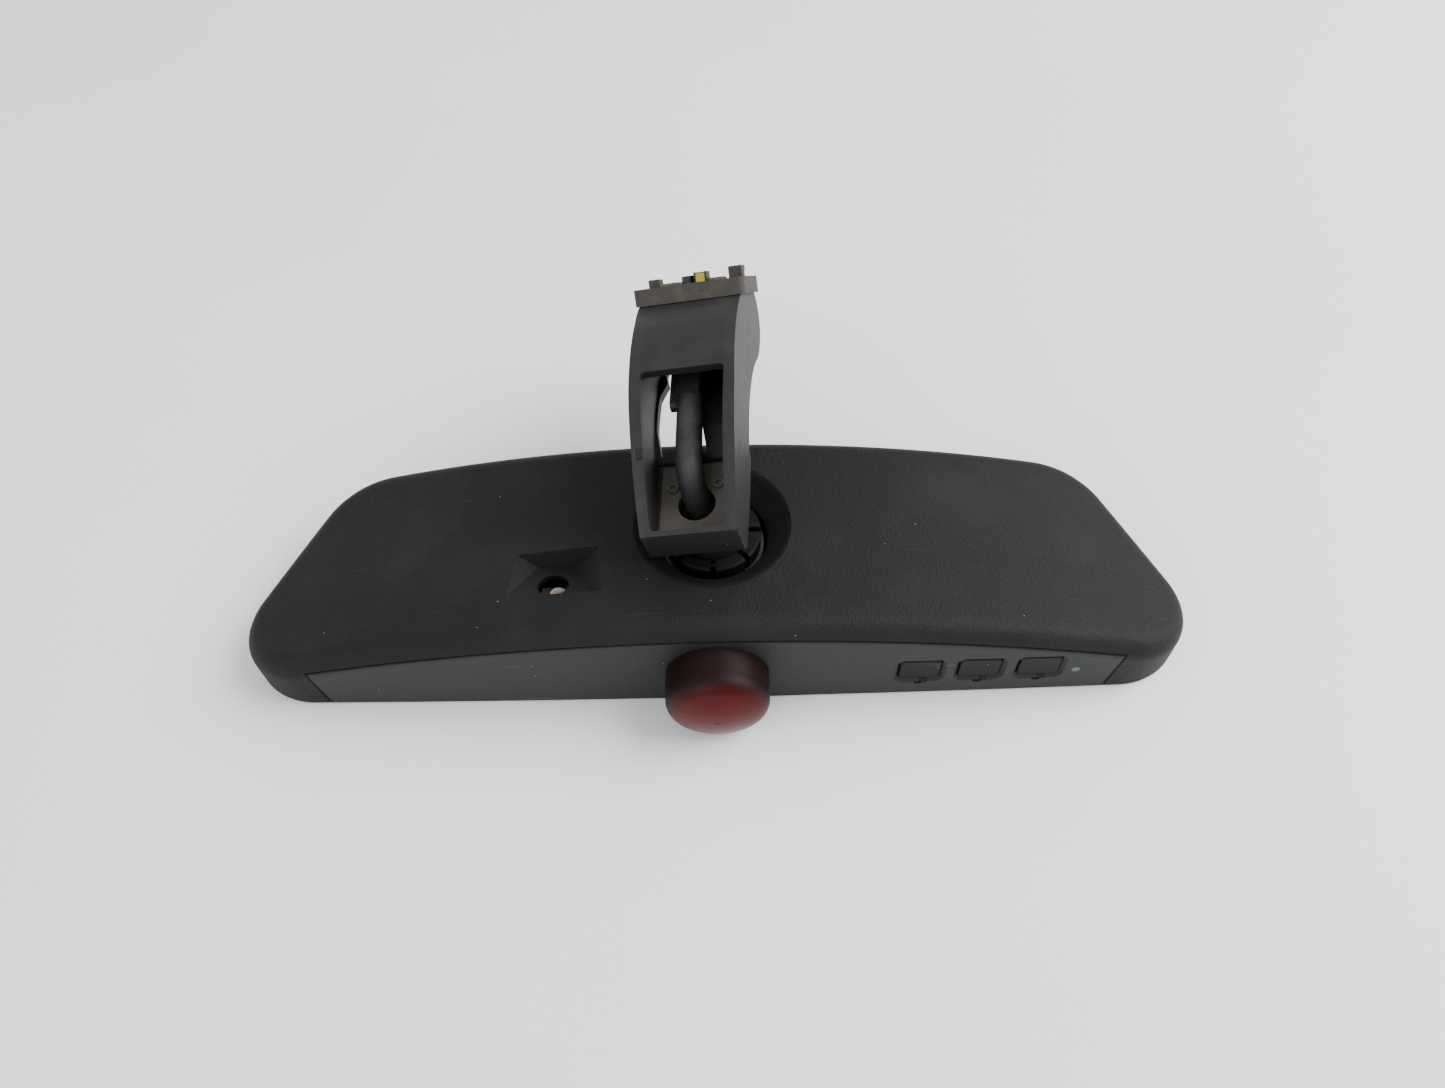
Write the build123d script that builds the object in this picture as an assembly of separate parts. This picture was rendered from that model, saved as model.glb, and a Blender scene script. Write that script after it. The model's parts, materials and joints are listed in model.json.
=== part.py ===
from build123d import *
from math import cos, radians, sin, sqrt, tan
import os

os.makedirs("parts", exist_ok=True)

# Interior rearview mirror lying on its glass. Millimetres. X runs along the mirror's length, +Y towards
# its top edge, +Z out of its back. The origin is the centre of the front rim's plane.

# ---- head: outline and shell ----
HALF_WIDTH = 126.6  # widest point of the ends
BOTTOM_Y = -35.3  # bottom edge at the middle
TOP_Y = 32.3  # top edge at the middle
BOTTOM_EDGE_RADIUS = 5600.0
TOP_EDGE_RADIUS = 16000.0
END_SLANT = 25.3  # degrees the ends lean outwards from the top edge to the bottom edge
TOP_CORNER_RADIUS = 22.0
BOTTOM_CORNER_RADIUS = 18.5
CROWN_Z = 31.2  # back of the housing above the origin
BACK_RADIUS = 420.0  # the back's curve along the length
BACK_TILT = 4.0  # degrees the back drops towards the top edge
SHOULDER_RADIUS = 5.5
WALL = 2.2
BLOCK_HEIGHT = 60.0  # taller than the housing, so that the back's curve cuts it

# ---- front rim, glass cell and carrier ----
RIM = 1.0  # thickness of the bezel's flange, which is also how deep the glass lies
RIM_GAP = 0.2  # seam between the bezel and the housing
RIM_INSET = 0.4
LIP = 2.6  # how far the bezel's lip covers the glass
BEZEL_WALL = 1.5
FIT = 0.2  # clearance between pieces that slot together
GLASS = 1.8
CELL_GAP = 0.2
SEAL_WIDTH = 3.0
PAD = 0.6
CARRIER = 1.8
BOSS_RADIUS = 3.2
CARRIER_SCREW_POINTS = [(-106, -14), (-105, 12), (78, -16), (78, 20)]

# ---- bottom panel, buttons and switches ----
PANEL_HALF = 106.0
PANEL_SLANT = 2.2  # how much nearer the middle the panel's ends are at the bottom
SEAM = 0.3  # visible gap round the panel
SEAM_DROP = 4.6  # the panel's top seam below the back's curve
LEDGE = 2.0  # the housing's ledge behind the panel's edge
BUTTON_X = [53.4, 69.0, 84.6]
BUTTON_Z = 11.8
BUTTON_WIDTH = 10.8
BUTTON_HEIGHT = 8.4
BUTTON_CORNER = 1.2
BUTTON_GAP = 0.25
BUTTON_FLANGE = 0.5
FLANGE_DEPTH = 0.8
BUTTON_TRAVEL = 0.8
BUTTON_RECESS = 0.5  # how far the button's face lies behind the panel
BUTTON_BEVEL = 1.1  # sloping frame round each button, and how deep the button sits in it
SWITCH_BOARD_Y = -24.0
BOARD = 1.4
SWITCH_BODY = 6.0
SWITCH_DEPTH = 3.5
PLUNGER_RADIUS = 1.7
PLUNGER = 0.9
STEM_RADIUS = 1.9
STATUS_X = 94.3
STATUS_Z = 10.1
PIPE_RADIUS = 1.1

# ---- receiver lens ----
LENS_X = 0.5
LENS_Z = 13.6
LENS_RADIUS = 13.4
LENS_LENGTH = 14.0
DOME_SAG = 3.4  # how far the lens's end bulges
DOME_ROUND = 5.0  # rounding between the end and the side
LENS_WALL = 1.8
NECK_RADIUS = 7.4
NECK_LENGTH = 6.4
CLIP_THICK = 1.2
GROOVE = 0.8
DIODE_RADIUS = 2.5

# ---- ball joint ----
BALL_Y = 1.0
BALL_Z = 22.5
BALL_RADIUS = 10.0
LINER = 0.7
SHELL_GAP = 0.04  # between each pair of nested spheres
CUP_RADIUS = 13.0
CUP_TOP = 4.6  # the fingers' tips above the ball's centre
CUP_FOOT = 8.0  # start of the fingers' slots below the ball's centre
FINGERS = 8
FINGER_SLOT = 1.5
RING_WIRE = 0.8
DISH_BOTTOM_RADIUS = 14.8
DISH_RADIUS = 21.4
DISH_DEPTH = 6.0
BEAD = 2.6
DISH_ROLL = 2.2  # size of the rounded edge between the back and the dish
PLATE = 1.6
PLATE_HALF_X = 24.0
PLATE_HALF_Y = 19.0

# ---- stalk, in its own frame: X across, Y towards the foot, Z up along the stem ----
STALK_TILT = 4.9
STALK_LEAN = -11.4
STALK_TWIST = -2.7
STALK_WALL = 2.4
LIP_WALL = 1.2
FLOOR_TOP = 18.7
FLOOR = 2.6
LIP_P = -13.2
LIP_Q = 25.8
FLOOR_BACK = 14.5
WINDOW_TOP = 27.5
REAR_WALL_TOP = 23.6
FOOT_FRONT = (58.5, 38.0)
FOOT_ANGLE = 46.0  # of the foot's face, from the stem's direction towards the arm's end
FOOT_DEPTH = 26.0
FOOT_HALF = 14.9  # on the right
FOOT_LEFT = 15.9
COLLAR = 4.6
COLLAR_WALL = 2.6
STEM_OUTER = 5.6
STEM_FLARE = 9.4
CABLE_RADIUS = 3.5
CABLE_HOLE = 5.0
SPIGOT_RADIUS = 4.6

# ---- small pieces: sensor funnel, screws, boards, plug and foot ----
SENSOR_X = -41.5
SENSOR_Y = -13.3
FUNNEL_LEFT = 12.6
FUNNEL_RIGHT = 11.2
FUNNEL_HALF_Y = 7.3
FUNNEL_FLOOR_HALF = 4.7
FUNNEL_SLOPE = 2.4
FUNNEL_LIP = 0.5
FUNNEL_ABOVE = 4.0
FUNNEL_DEPTH = 5.2
FUNNEL_WALL = 1.8
SENSOR_HOLE_RADIUS = 4.1
CELL_RADIUS = 2.2
SCREW_HOLE = 1.1
SCREW_DEPTH = 7.0
CONTACT_STEP = 1.6
CONTACT_HALF = 40.0
CONTACT_WIDTH = 1.2
CONTACT_THICK = 0.4
BOARD_Z = 12.6
BOARD_SPAN = (-98.0, -28.0)
BOARD_Y = (-23.0, 20.0)
SLOT_RAIL = 1.5
RECEIVER_BOARD_Y = -24.5
RECEIVER_HALF = 9.0
CUP_FLANGE = 1.2
BORE_LOW = 6.4  # half width of the cup's opening below the ball
HARNESS_RADIUS = 1.4
SPIGOT_TOP = 13.0
BALL_CONE = 7.0
FLOOR_BOSSES = [(-6.4, 5.2), (5.6, 5.6)]
FOOT_PLATE = 1.0
PLATE_SINK = 1.6
CONNECTOR_X = (-3.9, 2.3)
CONNECTOR_P = (27.0, 46.0)
CONNECTOR_Q = (23.0, 30.4)
BODY_WALL = 1.2
PIN_HALF = 0.3
PLUG_X = -24.0
HEADER_X = -30.0

BALL = Vector(0, BALL_Y, BALL_Z)
STALK = Location(tuple(BALL), (STALK_TILT, STALK_LEAN, STALK_TWIST))


def back_z(x, y=BOTTOM_Y):
    """Height of the back's curve, before the shoulder is rounded."""
    return CROWN_Z - y * tan(radians(BACK_TILT)) - x * x / (2 * BACK_RADIUS)


def bottom_y(x):
    """The bottom face's distance from the long axis at x."""
    return BOTTOM_Y + x * x / (2 * BOTTOM_EDGE_RADIUS)


def box(x0, x1, y0, y1, z0, z1):
    return Pos((x0 + x1) / 2, (y0 + y1) / 2, (z0 + z1) / 2) * Box(abs(x1 - x0), abs(y1 - y0), abs(z1 - z0))


def rod(radius, start, end):
    """A round bar from one point to another."""
    start, end = Vector(start), Vector(end)
    length = (end - start).length
    return Plane(origin=start, z_dir=end - start) * Pos(0, 0, length / 2) * Cylinder(radius, length)


def spin(points, centre):
    """A solid of revolution about a vertical axis, from its half section's (radius, height) points."""
    section = make_face(Polyline(*[(r, 0, z) for r, z in points], close=True))
    return Pos(*centre) * revolve(section, Axis.Z)


def save(name, shape):
    export_step(shape, f"parts/{name}.step")


# ---------------------------------------------------------------- head shapes
def outline(inset):
    """The head's outline seen from behind, moved inwards by inset."""
    slope = tan(radians(END_SLANT))
    corner_tangent = BOTTOM_CORNER_RADIUS / tan(radians((90 - END_SLANT) / 2))
    low_x = HALF_WIDTH - BOTTOM_CORNER_RADIUS + corner_tangent
    low_y = bottom_y(low_x)
    high_x = low_x - (TOP_Y - low_y) * slope
    high_y = TOP_Y - high_x * high_x / (2 * TOP_EDGE_RADIUS)
    face = make_face([
        ThreePointArc((-low_x, low_y), (0, BOTTOM_Y), (low_x, low_y)),
        Line((low_x, low_y), (high_x, high_y)),
        ThreePointArc((high_x, high_y), (0, TOP_Y), (-high_x, high_y)),
        Line((-high_x, high_y), (-low_x, low_y)),
    ])
    face = fillet(face.vertices().filter_by(lambda v: v.Y < 0), BOTTOM_CORNER_RADIUS)
    face = fillet(face.vertices().filter_by(lambda v: v.Y > TOP_Y - 6 and abs(v.X) > 80), TOP_CORNER_RADIUS)
    return offset(face, -inset) if inset else face


def head_block(inset, low=0.0):
    """The head's full shape down to z = low, moved inwards by inset."""
    walls = Pos(0, 0, low) * extrude(outline(inset), BLOCK_HEIGHT - low)
    tilt = radians(BACK_TILT)
    centre = (0, 0, CROWN_Z - BACK_RADIUS / cos(tilt))
    axis = Plane(origin=centre, x_dir=(1, 0, 0), z_dir=(0, cos(tilt), -sin(tilt)))
    barrel = axis * Cylinder(BACK_RADIUS - inset, 4 * BLOCK_HEIGHT)
    block = walls & barrel
    block = block - box(-200, 200, -100, 100, -500, low)
    back = block.faces().sort_by(Axis.Z)[-1]
    return fillet(back.edges(), SHOULDER_RADIUS - inset)


def seam_face(margin):
    """The bottom panel's outline in X and Z: straight ends and a top that follows the back's curve."""
    half = PANEL_HALF + margin
    foot_half = half - PANEL_SLANT
    top = back_z(0) - SEAM_DROP + margin
    side = back_z(PANEL_HALF) - SEAM_DROP + margin
    foot = RIM + RIM_GAP - margin
    return make_face([
        Line((-foot_half, foot), (foot_half, foot)),
        Line((foot_half, foot), (half, side)),
        ThreePointArc((half, side), (0, top), (-half, side)),
        Line((-half, side), (-foot_half, foot)),
    ])


def panel_zone(margin):
    """A block through the bottom face that holds everything inside the panel's outline."""
    return Plane.XZ * Pos(0, 0, -BOTTOM_Y - 10) * extrude(seam_face(margin), 20)


GLASS_INSET = RIM_INSET + WALL + BEZEL_WALL + FIT
GLASS_TOP = RIM + 2 * GLASS + CELL_GAP
CARRIER_Z = GLASS_TOP + PAD
CARRIER_TOP = CARRIER_Z + CARRIER
HOUSING_FOOT = RIM + RIM_GAP
INSIDE = head_block(WALL, RIM)
CLEAR_INSIDE = head_block(WALL + FIT, RIM)
PANEL_INNER_Y = BOTTOM_Y + WALL

# ---------------------------------------------------------------- rear housing
DISH = Location((0, BALL_Y - 0.2, CROWN_Z), (-BACK_TILT, 0, 0))


def dish_section(points):
    return DISH * revolve(make_face(Polyline(*[(r, 0, z) for r, z in points], close=True)), Axis.Z)


def funnel(grow):
    """The sensor's funnel: deep on the top-edge side and flush on the other, with sloping sides."""
    surface = back_z(SENSOR_X, SENSOR_Y)
    top = surface + FUNNEL_ABOVE
    low = surface - FUNNEL_DEPTH - grow
    far = SENSOR_Y + FUNNEL_HALF_Y + grow
    near = SENSOR_Y - FUNNEL_HALF_Y - grow
    rise = FUNNEL_ABOVE / FUNNEL_DEPTH
    deep = FUNNEL_FLOOR_HALF + grow
    left = FUNNEL_LEFT + grow
    right = FUNNEL_RIGHT + grow
    side = make_face(Polyline((far + FUNNEL_SLOPE * rise, top), (far - FUNNEL_SLOPE, low),
                              (near, surface - FUNNEL_LIP - grow), (near, top), close=True))
    wedge = Plane.YZ * Pos(0, 0, SENSOR_X - 2 * left) * extrude(side, 4 * left)
    front = make_face(Polyline((-left - (left - deep) * rise, top), (right + (right - deep) * rise, top),
                               (deep, low), (-deep, low), close=True))
    slopes = Plane.XZ * Pos(SENSOR_X, 0, -far - 4 * FUNNEL_SLOPE) * extrude(front, 6 * FUNNEL_HALF_Y)
    return wedge & slopes


def boss(x, y, z0, radius, z1=BLOCK_HEIGHT):
    return rod(radius, (x, y, z0), (x, y, z1))


outer = head_block(0.0)
shell = outer - INSIDE
shell = shell - box(-200, 200, -100, 100, -1, HOUSING_FOOT)
shell = shell - panel_zone(SEAM)
ledge_block = head_block(WALL + 0.05, HOUSING_FOOT) - head_block(WALL + 1.5, RIM)
ledge = (ledge_block & panel_zone(SEAM + LEDGE)) - panel_zone(-LEDGE)
ledge = ledge - box(-200, 200, -100, 100, -1, CARRIER_TOP + FIT)
flange_top = BUTTON_Z + BUTTON_HEIGHT / 2 + BUTTON_FLANGE + FIT
ledge = ledge - box(BUTTON_X[0] - BUTTON_WIDTH, BUTTON_X[-1] + BUTTON_WIDTH, -50, 0, 0, flange_top)
ledge_rim = (head_block(WALL - 0.3, HOUSING_FOOT) - head_block(WALL + 1.5, RIM)) & panel_zone(SEAM + LEDGE)
ledge_rim = ledge_rim - panel_zone(SEAM) - box(-200, 200, -100, 100, -1, CARRIER_TOP + FIT)
dish_wall = dish_section([
    (DISH_BOTTOM_RADIUS, -DISH_DEPTH - 2), (DISH_BOTTOM_RADIUS, 1), (DISH_RADIUS + BEAD, 1),
    (DISH_RADIUS + BEAD, -2.5), (DISH_BOTTOM_RADIUS + 2.6, -DISH_DEPTH - 2),
]) & head_block(0.02)
mouth = DISH_RADIUS + DISH_ROLL / 2
throat = DISH_RADIUS - DISH_ROLL
crest = DISH_RADIUS - 0.3 * DISH_ROLL
dish_cut = DISH * revolve(make_face([
    Line((0, 0, -DISH_DEPTH - 6), (DISH_BOTTOM_RADIUS, 0, -DISH_DEPTH - 6)),
    Line((DISH_BOTTOM_RADIUS, 0, -DISH_DEPTH - 6), (DISH_BOTTOM_RADIUS, 0, -DISH_DEPTH)),
    Line((DISH_BOTTOM_RADIUS, 0, -DISH_DEPTH), (throat, 0, -DISH_ROLL)),
    ThreePointArc((throat, 0, -DISH_ROLL), (crest, 0, -0.36 * DISH_ROLL), (mouth, 0, 0)),
    Line((mouth, 0, 0), (mouth, 0, 10)),
    Line((mouth, 0, 10), (0, 0, 10)),
    Line((0, 0, 10), (0, 0, -DISH_DEPTH - 6)),
]), Axis.Z)
pocket = (funnel(FUNNEL_WALL) & head_block(0.6)) - funnel(0.0)
sensor_axis_top = (SENSOR_X, SENSOR_Y - 2.8, CROWN_Z + 6)
sensor_axis_low = (SENSOR_X, SENSOR_Y - 2.8, CARRIER_TOP + 6)
bosses = [boss(x, y, CARRIER_TOP, BOSS_RADIUS) & head_block(WALL / 2) for x, y in CARRIER_SCREW_POINTS]
housing = shell + ledge + ledge_rim + dish_wall + pocket
for piece in bosses:
    housing += piece
housing = housing - dish_cut - funnel(0.0) - rod(SENSOR_HOLE_RADIUS, sensor_axis_low, sensor_axis_top)
for x, y in CARRIER_SCREW_POINTS:
    housing = housing - boss(x, y, CARRIER_TOP - 1, SCREW_HOLE, CARRIER_TOP + SCREW_DEPTH)
save("rear_housing", housing)


# ---------------------------------------------------------------- bezel, glass cell, carrier
def plate(inset, z0, z1, inner=None):
    """A plate or, with inner, a frame that follows the head's outline."""
    solid = Pos(0, 0, z0) * extrude(outline(inset), z1 - z0)
    return solid - Pos(0, 0, z0 - 1) * extrude(outline(inner), z1 - z0 + 2) if inner else solid


button_zone = box(BUTTON_X[0] - 9, STATUS_X + 3, -40, PANEL_INNER_Y + 3.4, CARRIER_Z - 0.2, CARRIER_TOP + 20)
lens_zone = box(LENS_X - 12, LENS_X + 12, -40, PANEL_INNER_Y + 6.0, CARRIER_Z - 0.2, CARRIER_TOP + 20)
wall_inset = RIM_INSET + WALL
bezel = plate(RIM_INSET, 0, RIM, GLASS_INSET + LIP)
bezel += plate(wall_inset, RIM, CARRIER_Z, wall_inset + BEZEL_WALL) & CLEAR_INSIDE
save("bezel", bezel)
save("front_glass", plate(GLASS_INSET, RIM, RIM + GLASS))
seal_inset = GLASS_INSET + CONTACT_STEP
save("cell_seal", plate(seal_inset, RIM + GLASS, RIM + GLASS + CELL_GAP, seal_inset + SEAL_WIDTH))
rear_glass = plate(GLASS_INSET + CONTACT_STEP, RIM + GLASS + CELL_GAP, GLASS_TOP)
save("rear_glass", rear_glass)
save("glass_pad", plate(GLASS_INSET + 4, GLASS_TOP, CARRIER_Z))

# Two spring strips on the cell's edge carry the current that dims the glass.
for name, side in (("contact_strip_top", 1), ("contact_strip_bottom", -1)):
    edge = abs(TOP_Y if side > 0 else bottom_y(CONTACT_HALF)) - GLASS_INSET - 0.5
    strip = box(-CONTACT_HALF, CONTACT_HALF, side * (edge - CONTACT_WIDTH), side * edge,
                RIM + GLASS, RIM + GLASS + CONTACT_THICK)
    edge = plate(GLASS_INSET, RIM + GLASS, RIM + GLASS + CONTACT_THICK, GLASS_INSET + CONTACT_STEP - FIT / 2)
    strip = strip & edge
    save(name, strip.solids().sort_by(SortBy.VOLUME)[-1])

carrier = plate(wall_inset + 0.1, CARRIER_Z, CARRIER_TOP) & CLEAR_INSIDE
carrier = carrier - button_zone - lens_zone
BOARD_POINTS = [(BOARD_SPAN[0] + 8, BOARD_Y[0] + 7), (BOARD_SPAN[0] + 8, BOARD_Y[1] - 4),
                (BOARD_SPAN[1] - 4, BOARD_Y[0] + 4), (BOARD_SPAN[1] - 4, BOARD_Y[1] - 4)]
for x, y in BOARD_POINTS:
    carrier += boss(x, y, CARRIER_TOP - 0.5, 2.4, BOARD_Z)
PLATE_POINTS = [(x * (PLATE_HALF_X - 4), BALL_Y + y * (PLATE_HALF_Y - 4)) for x in (-1, 1) for y in (-1, 1)]
SWITCH_SPAN = (BUTTON_X[0] - 8, STATUS_X + 4)
SWITCH_TOP = BUTTON_Z + 5.4
rails = [(SWITCH_SPAN[0] + 3, SWITCH_BOARD_Y), (SWITCH_SPAN[1] - 3, SWITCH_BOARD_Y),
         (LENS_X - RECEIVER_HALF + 2, RECEIVER_BOARD_Y), (LENS_X + RECEIVER_HALF - 2, RECEIVER_BOARD_Y)]
for x, y in rails:
    carrier += box(x - 1.5, x + 1.5, y + BOARD, y + BOARD + SLOT_RAIL, CARRIER_TOP - 0.5, CARRIER_TOP + 5)
    carrier += box(x - 1.5, x + 1.5, y - SLOT_RAIL, y, CARRIER_TOP - 0.5, CARRIER_TOP + 1.6)
for x, y in CARRIER_SCREW_POINTS + PLATE_POINTS:
    carrier = carrier - boss(x, y, CARRIER_Z - 1, SCREW_HOLE + 0.3, CARRIER_TOP + 1)
for x, y in CARRIER_SCREW_POINTS:
    carrier = carrier - boss(x, y, CARRIER_Z - 1, 2.4, CARRIER_Z + 1.0)
for x, y in BOARD_POINTS:
    carrier = carrier - boss(x, y, CARRIER_TOP + 0.5, SCREW_HOLE, BOARD_Z + 1)
save("carrier_plate", carrier)


def screw(radius, head_radius, seat, length, direction):
    """A pan head screw: seat is the point under its head, direction is +1 when the tip points up."""
    x, y, z = seat
    shank = rod(radius, seat, (x, y, z + direction * length))
    head = rod(head_radius, seat, (x, y, z - direction * head_radius * 0.42))
    slot = box(x - head_radius, x + head_radius, y - 0.3, y + 0.3,
               z - direction * head_radius * 0.42, z - direction * head_radius * 0.2)
    return shank + head - slot


for i, (x, y) in enumerate(CARRIER_SCREW_POINTS):
    save(f"carrier_screw_{i + 1}", screw(SCREW_HOLE - 0.05, 2.1, (x, y, CARRIER_Z + 1.0), 6.5, 1))
save("board_screws", Compound([screw(SCREW_HOLE - 0.05, 2.0, (x, y, BOARD_Z + BOARD), 5.0, -1).solid()
                               for x, y in BOARD_POINTS]))

# ---------------------------------------------------------------- bottom panel
def corners(width, height, cut):
    """A rectangle's outline with its corners cut off."""
    x, z = width / 2, height / 2
    return Polyline((x - cut, z), (x, z - cut), (x, cut - z), (x - cut, -z), (cut - x, -z), (-x, cut - z),
                    (-x, z - cut), (cut - x, z), close=True)


def well(x, y):
    """The sloping well that a button sits in."""
    inner_width = BUTTON_WIDTH + 2 * BUTTON_GAP
    inner_height = BUTTON_HEIGHT + 2 * BUTTON_GAP
    grow = 2 * BUTTON_BEVEL + 1.0
    mouth_face = make_face(corners(inner_width + grow, inner_height + grow, 2.2))
    outer = Plane.XZ * Pos(x, BUTTON_Z, -y + 0.5) * mouth_face
    inner = Plane.XZ * Pos(x, BUTTON_Z, -y - BUTTON_BEVEL) * make_face(corners(inner_width, inner_height, 0.9))
    return loft([outer, inner], ruled=True)


panel = (head_block(0.0, RIM) - INSIDE) & panel_zone(0.0)
for x in BUTTON_X:
    y = bottom_y(x)
    panel = panel - well(x, y)
    frame = Plane.XZ * Pos(x, BUTTON_Z, -y) * RectangleRounded(
        BUTTON_WIDTH + 2 * BUTTON_GAP, BUTTON_HEIGHT + 2 * BUTTON_GAP, BUTTON_CORNER)
    panel = panel - extrude(frame, 8, both=True)
neck_hole = rod(NECK_RADIUS + FIT, (LENS_X, -45, LENS_Z), (LENS_X, -25, LENS_Z))
panel = panel - neck_hole - rod(PIPE_RADIUS + 0.05, (STATUS_X, -45, STATUS_Z), (STATUS_X, -25, STATUS_Z))
mark = 0.5
for x in BUTTON_X:
    y = bottom_y(x)
    low = BUTTON_Z - BUTTON_HEIGHT / 2 - BUTTON_GAP
    panel = panel - box(x - 1.0, x + 1.0, y - 1, y + mark, low - 1.9, low - 1.0)
save("bottom_panel", panel)

for i, x in enumerate(BUTTON_X):
    y = bottom_y(x)
    back = bottom_y(x) + WALL + 0.2
    cap = Plane.XZ * Pos(x, BUTTON_Z, -(back + 0.2)) * extrude(
        RectangleRounded(BUTTON_WIDTH, BUTTON_HEIGHT, BUTTON_CORNER), back + 0.2 - y - BUTTON_RECESS)
    front = cap.faces().sort_by(Axis.Y)[0]
    cap = fillet(front.edges(), 0.5)
    reach = BUTTON_WIDTH / 2 + BUTTON_FLANGE
    flange = box(x - reach, x + reach, back, back + FLANGE_DEPTH,
                 BUTTON_Z - BUTTON_HEIGHT / 2 - BUTTON_FLANGE, BUTTON_Z + BUTTON_HEIGHT / 2 + BUTTON_FLANGE)
    plunger_tip = SWITCH_BOARD_Y - SWITCH_DEPTH - PLUNGER
    stem = rod(STEM_RADIUS, (x, back, BUTTON_Z), (x, plunger_tip - BUTTON_TRAVEL - 0.1, BUTTON_Z))
    save(f"button_{i + 1}", cap + flange + stem)
    body = box(x - SWITCH_BODY / 2, x + SWITCH_BODY / 2, SWITCH_BOARD_Y - SWITCH_DEPTH, SWITCH_BOARD_Y,
               BUTTON_Z - SWITCH_BODY / 2, BUTTON_Z + SWITCH_BODY / 2)
    plunger = rod(PLUNGER_RADIUS, (x, plunger_tip, BUTTON_Z), (x, SWITCH_BOARD_Y - SWITCH_DEPTH, BUTTON_Z))
    save(f"switch_{i + 1}", body + plunger)

switch_board = box(*SWITCH_SPAN, SWITCH_BOARD_Y, SWITCH_BOARD_Y + BOARD, CARRIER_TOP, SWITCH_TOP)
save("switch_board", switch_board)
led_front = SWITCH_BOARD_Y - 1.4
led = Pos(STATUS_X, (led_front + SWITCH_BOARD_Y) / 2, STATUS_Z) * Box(3.0, SWITCH_BOARD_Y - led_front, 2.4)
save("status_led", led)
pipe_end = bottom_y(STATUS_X)
pipe = rod(PIPE_RADIUS, (STATUS_X, pipe_end, STATUS_Z), (STATUS_X, led_front, STATUS_Z))
pipe_flange = pipe_end + WALL + 0.1
pipe += rod(PIPE_RADIUS + 0.9, (STATUS_X, pipe_flange, STATUS_Z), (STATUS_X, pipe_flange + 1.1, STATUS_Z))
save("status_light_pipe", pipe)

# ---------------------------------------------------------------- receiver lens
lens_seat = BOTTOM_Y - 0.05


def lens_half(shrink):
    """Half section of the lens's outside, or with shrink of its hollow: a cylinder with a bulging end."""
    radius = LENS_RADIUS - shrink
    end = LENS_LENGTH - shrink
    sag = DOME_SAG * radius / LENS_RADIUS
    cap_radius = (radius * radius + sag * sag) / (2 * sag)
    middle = radius / 2
    middle_h = end - cap_radius + sqrt(cap_radius * cap_radius - middle * middle)
    face = make_face([
        Line((0, 0), (radius, 0)),
        Line((radius, 0), (radius, end - sag)),
        ThreePointArc((radius, end - sag), (middle, middle_h), (0, end)),
        Line((0, end), (0, 0)),
    ])
    corner = face.vertices().filter_by(lambda v: abs(v.X - radius) < 0.01 and v.Y > 1)
    return fillet(corner, DOME_ROUND - shrink)


def flat(r0, r1, h0, h1):
    """A rectangle of a half section, from radius r0 to r1 and from h0 to h1 along the axis."""
    return Pos((r0 + r1) / 2, (h0 + h1) / 2) * Rectangle(r1 - r0, h1 - h0)


groove_y = lens_seat + WALL + 0.15
bore = NECK_RADIUS - LENS_WALL
half = lens_half(0) - (lens_half(LENS_WALL) - flat(0, LENS_RADIUS, -1, LENS_WALL))
half = half + flat(bore, NECK_RADIUS, -NECK_LENGTH, LENS_WALL / 2)
half = half - flat(0, bore, -NECK_LENGTH - 1, LENS_WALL + 0.5)
groove_h = -(groove_y - lens_seat)
half = half - flat(NECK_RADIUS - GROOVE, NECK_RADIUS + 1, groove_h - CLIP_THICK - 0.1, groove_h)
lens = Pos(LENS_X, lens_seat, LENS_Z) * Rot(180, 0, 0) * revolve(half, Axis.Y)
save("receiver_lens", lens)
clip = rod(NECK_RADIUS + 2.2, (LENS_X, groove_y + 0.05, LENS_Z), (LENS_X, groove_y + 0.05 + CLIP_THICK, LENS_Z))
clip = clip - rod(NECK_RADIUS - GROOVE + 0.05, (LENS_X, groove_y - 1, LENS_Z), (LENS_X, groove_y + 3, LENS_Z))
clip = clip & box(-50, 50, -50, 0, CARRIER_Z + 0.1, 60)
clip = clip - box(LENS_X - 4, LENS_X + 4, -50, 0, 0, LENS_Z - 2)
save("lens_clip", clip)
save("receiver_board", box(LENS_X - RECEIVER_HALF, LENS_X + RECEIVER_HALF, RECEIVER_BOARD_Y,
                           RECEIVER_BOARD_Y + BOARD, CARRIER_TOP, LENS_Z + 6))
diode_tip = lens_seat - 5.0
diode_length = RECEIVER_BOARD_Y - diode_tip
diode = make_face([
    Line((0, 0), (DIODE_RADIUS + 0.5, 0)),
    Line((DIODE_RADIUS + 0.5, 0), (DIODE_RADIUS + 0.5, 1.2)),
    Line((DIODE_RADIUS + 0.5, 1.2), (DIODE_RADIUS, 1.2)),
    Line((DIODE_RADIUS, 1.2), (DIODE_RADIUS, diode_length - DIODE_RADIUS)),
    CenterArc((0, diode_length - DIODE_RADIUS), DIODE_RADIUS, 0, 90),
    Line((0, diode_length), (0, 0)),
])
diode = Pos(LENS_X, RECEIVER_BOARD_Y, LENS_Z) * Rot(180, 0, 0) * revolve(diode, Axis.Y)
save("receiver_diode", diode)

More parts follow.
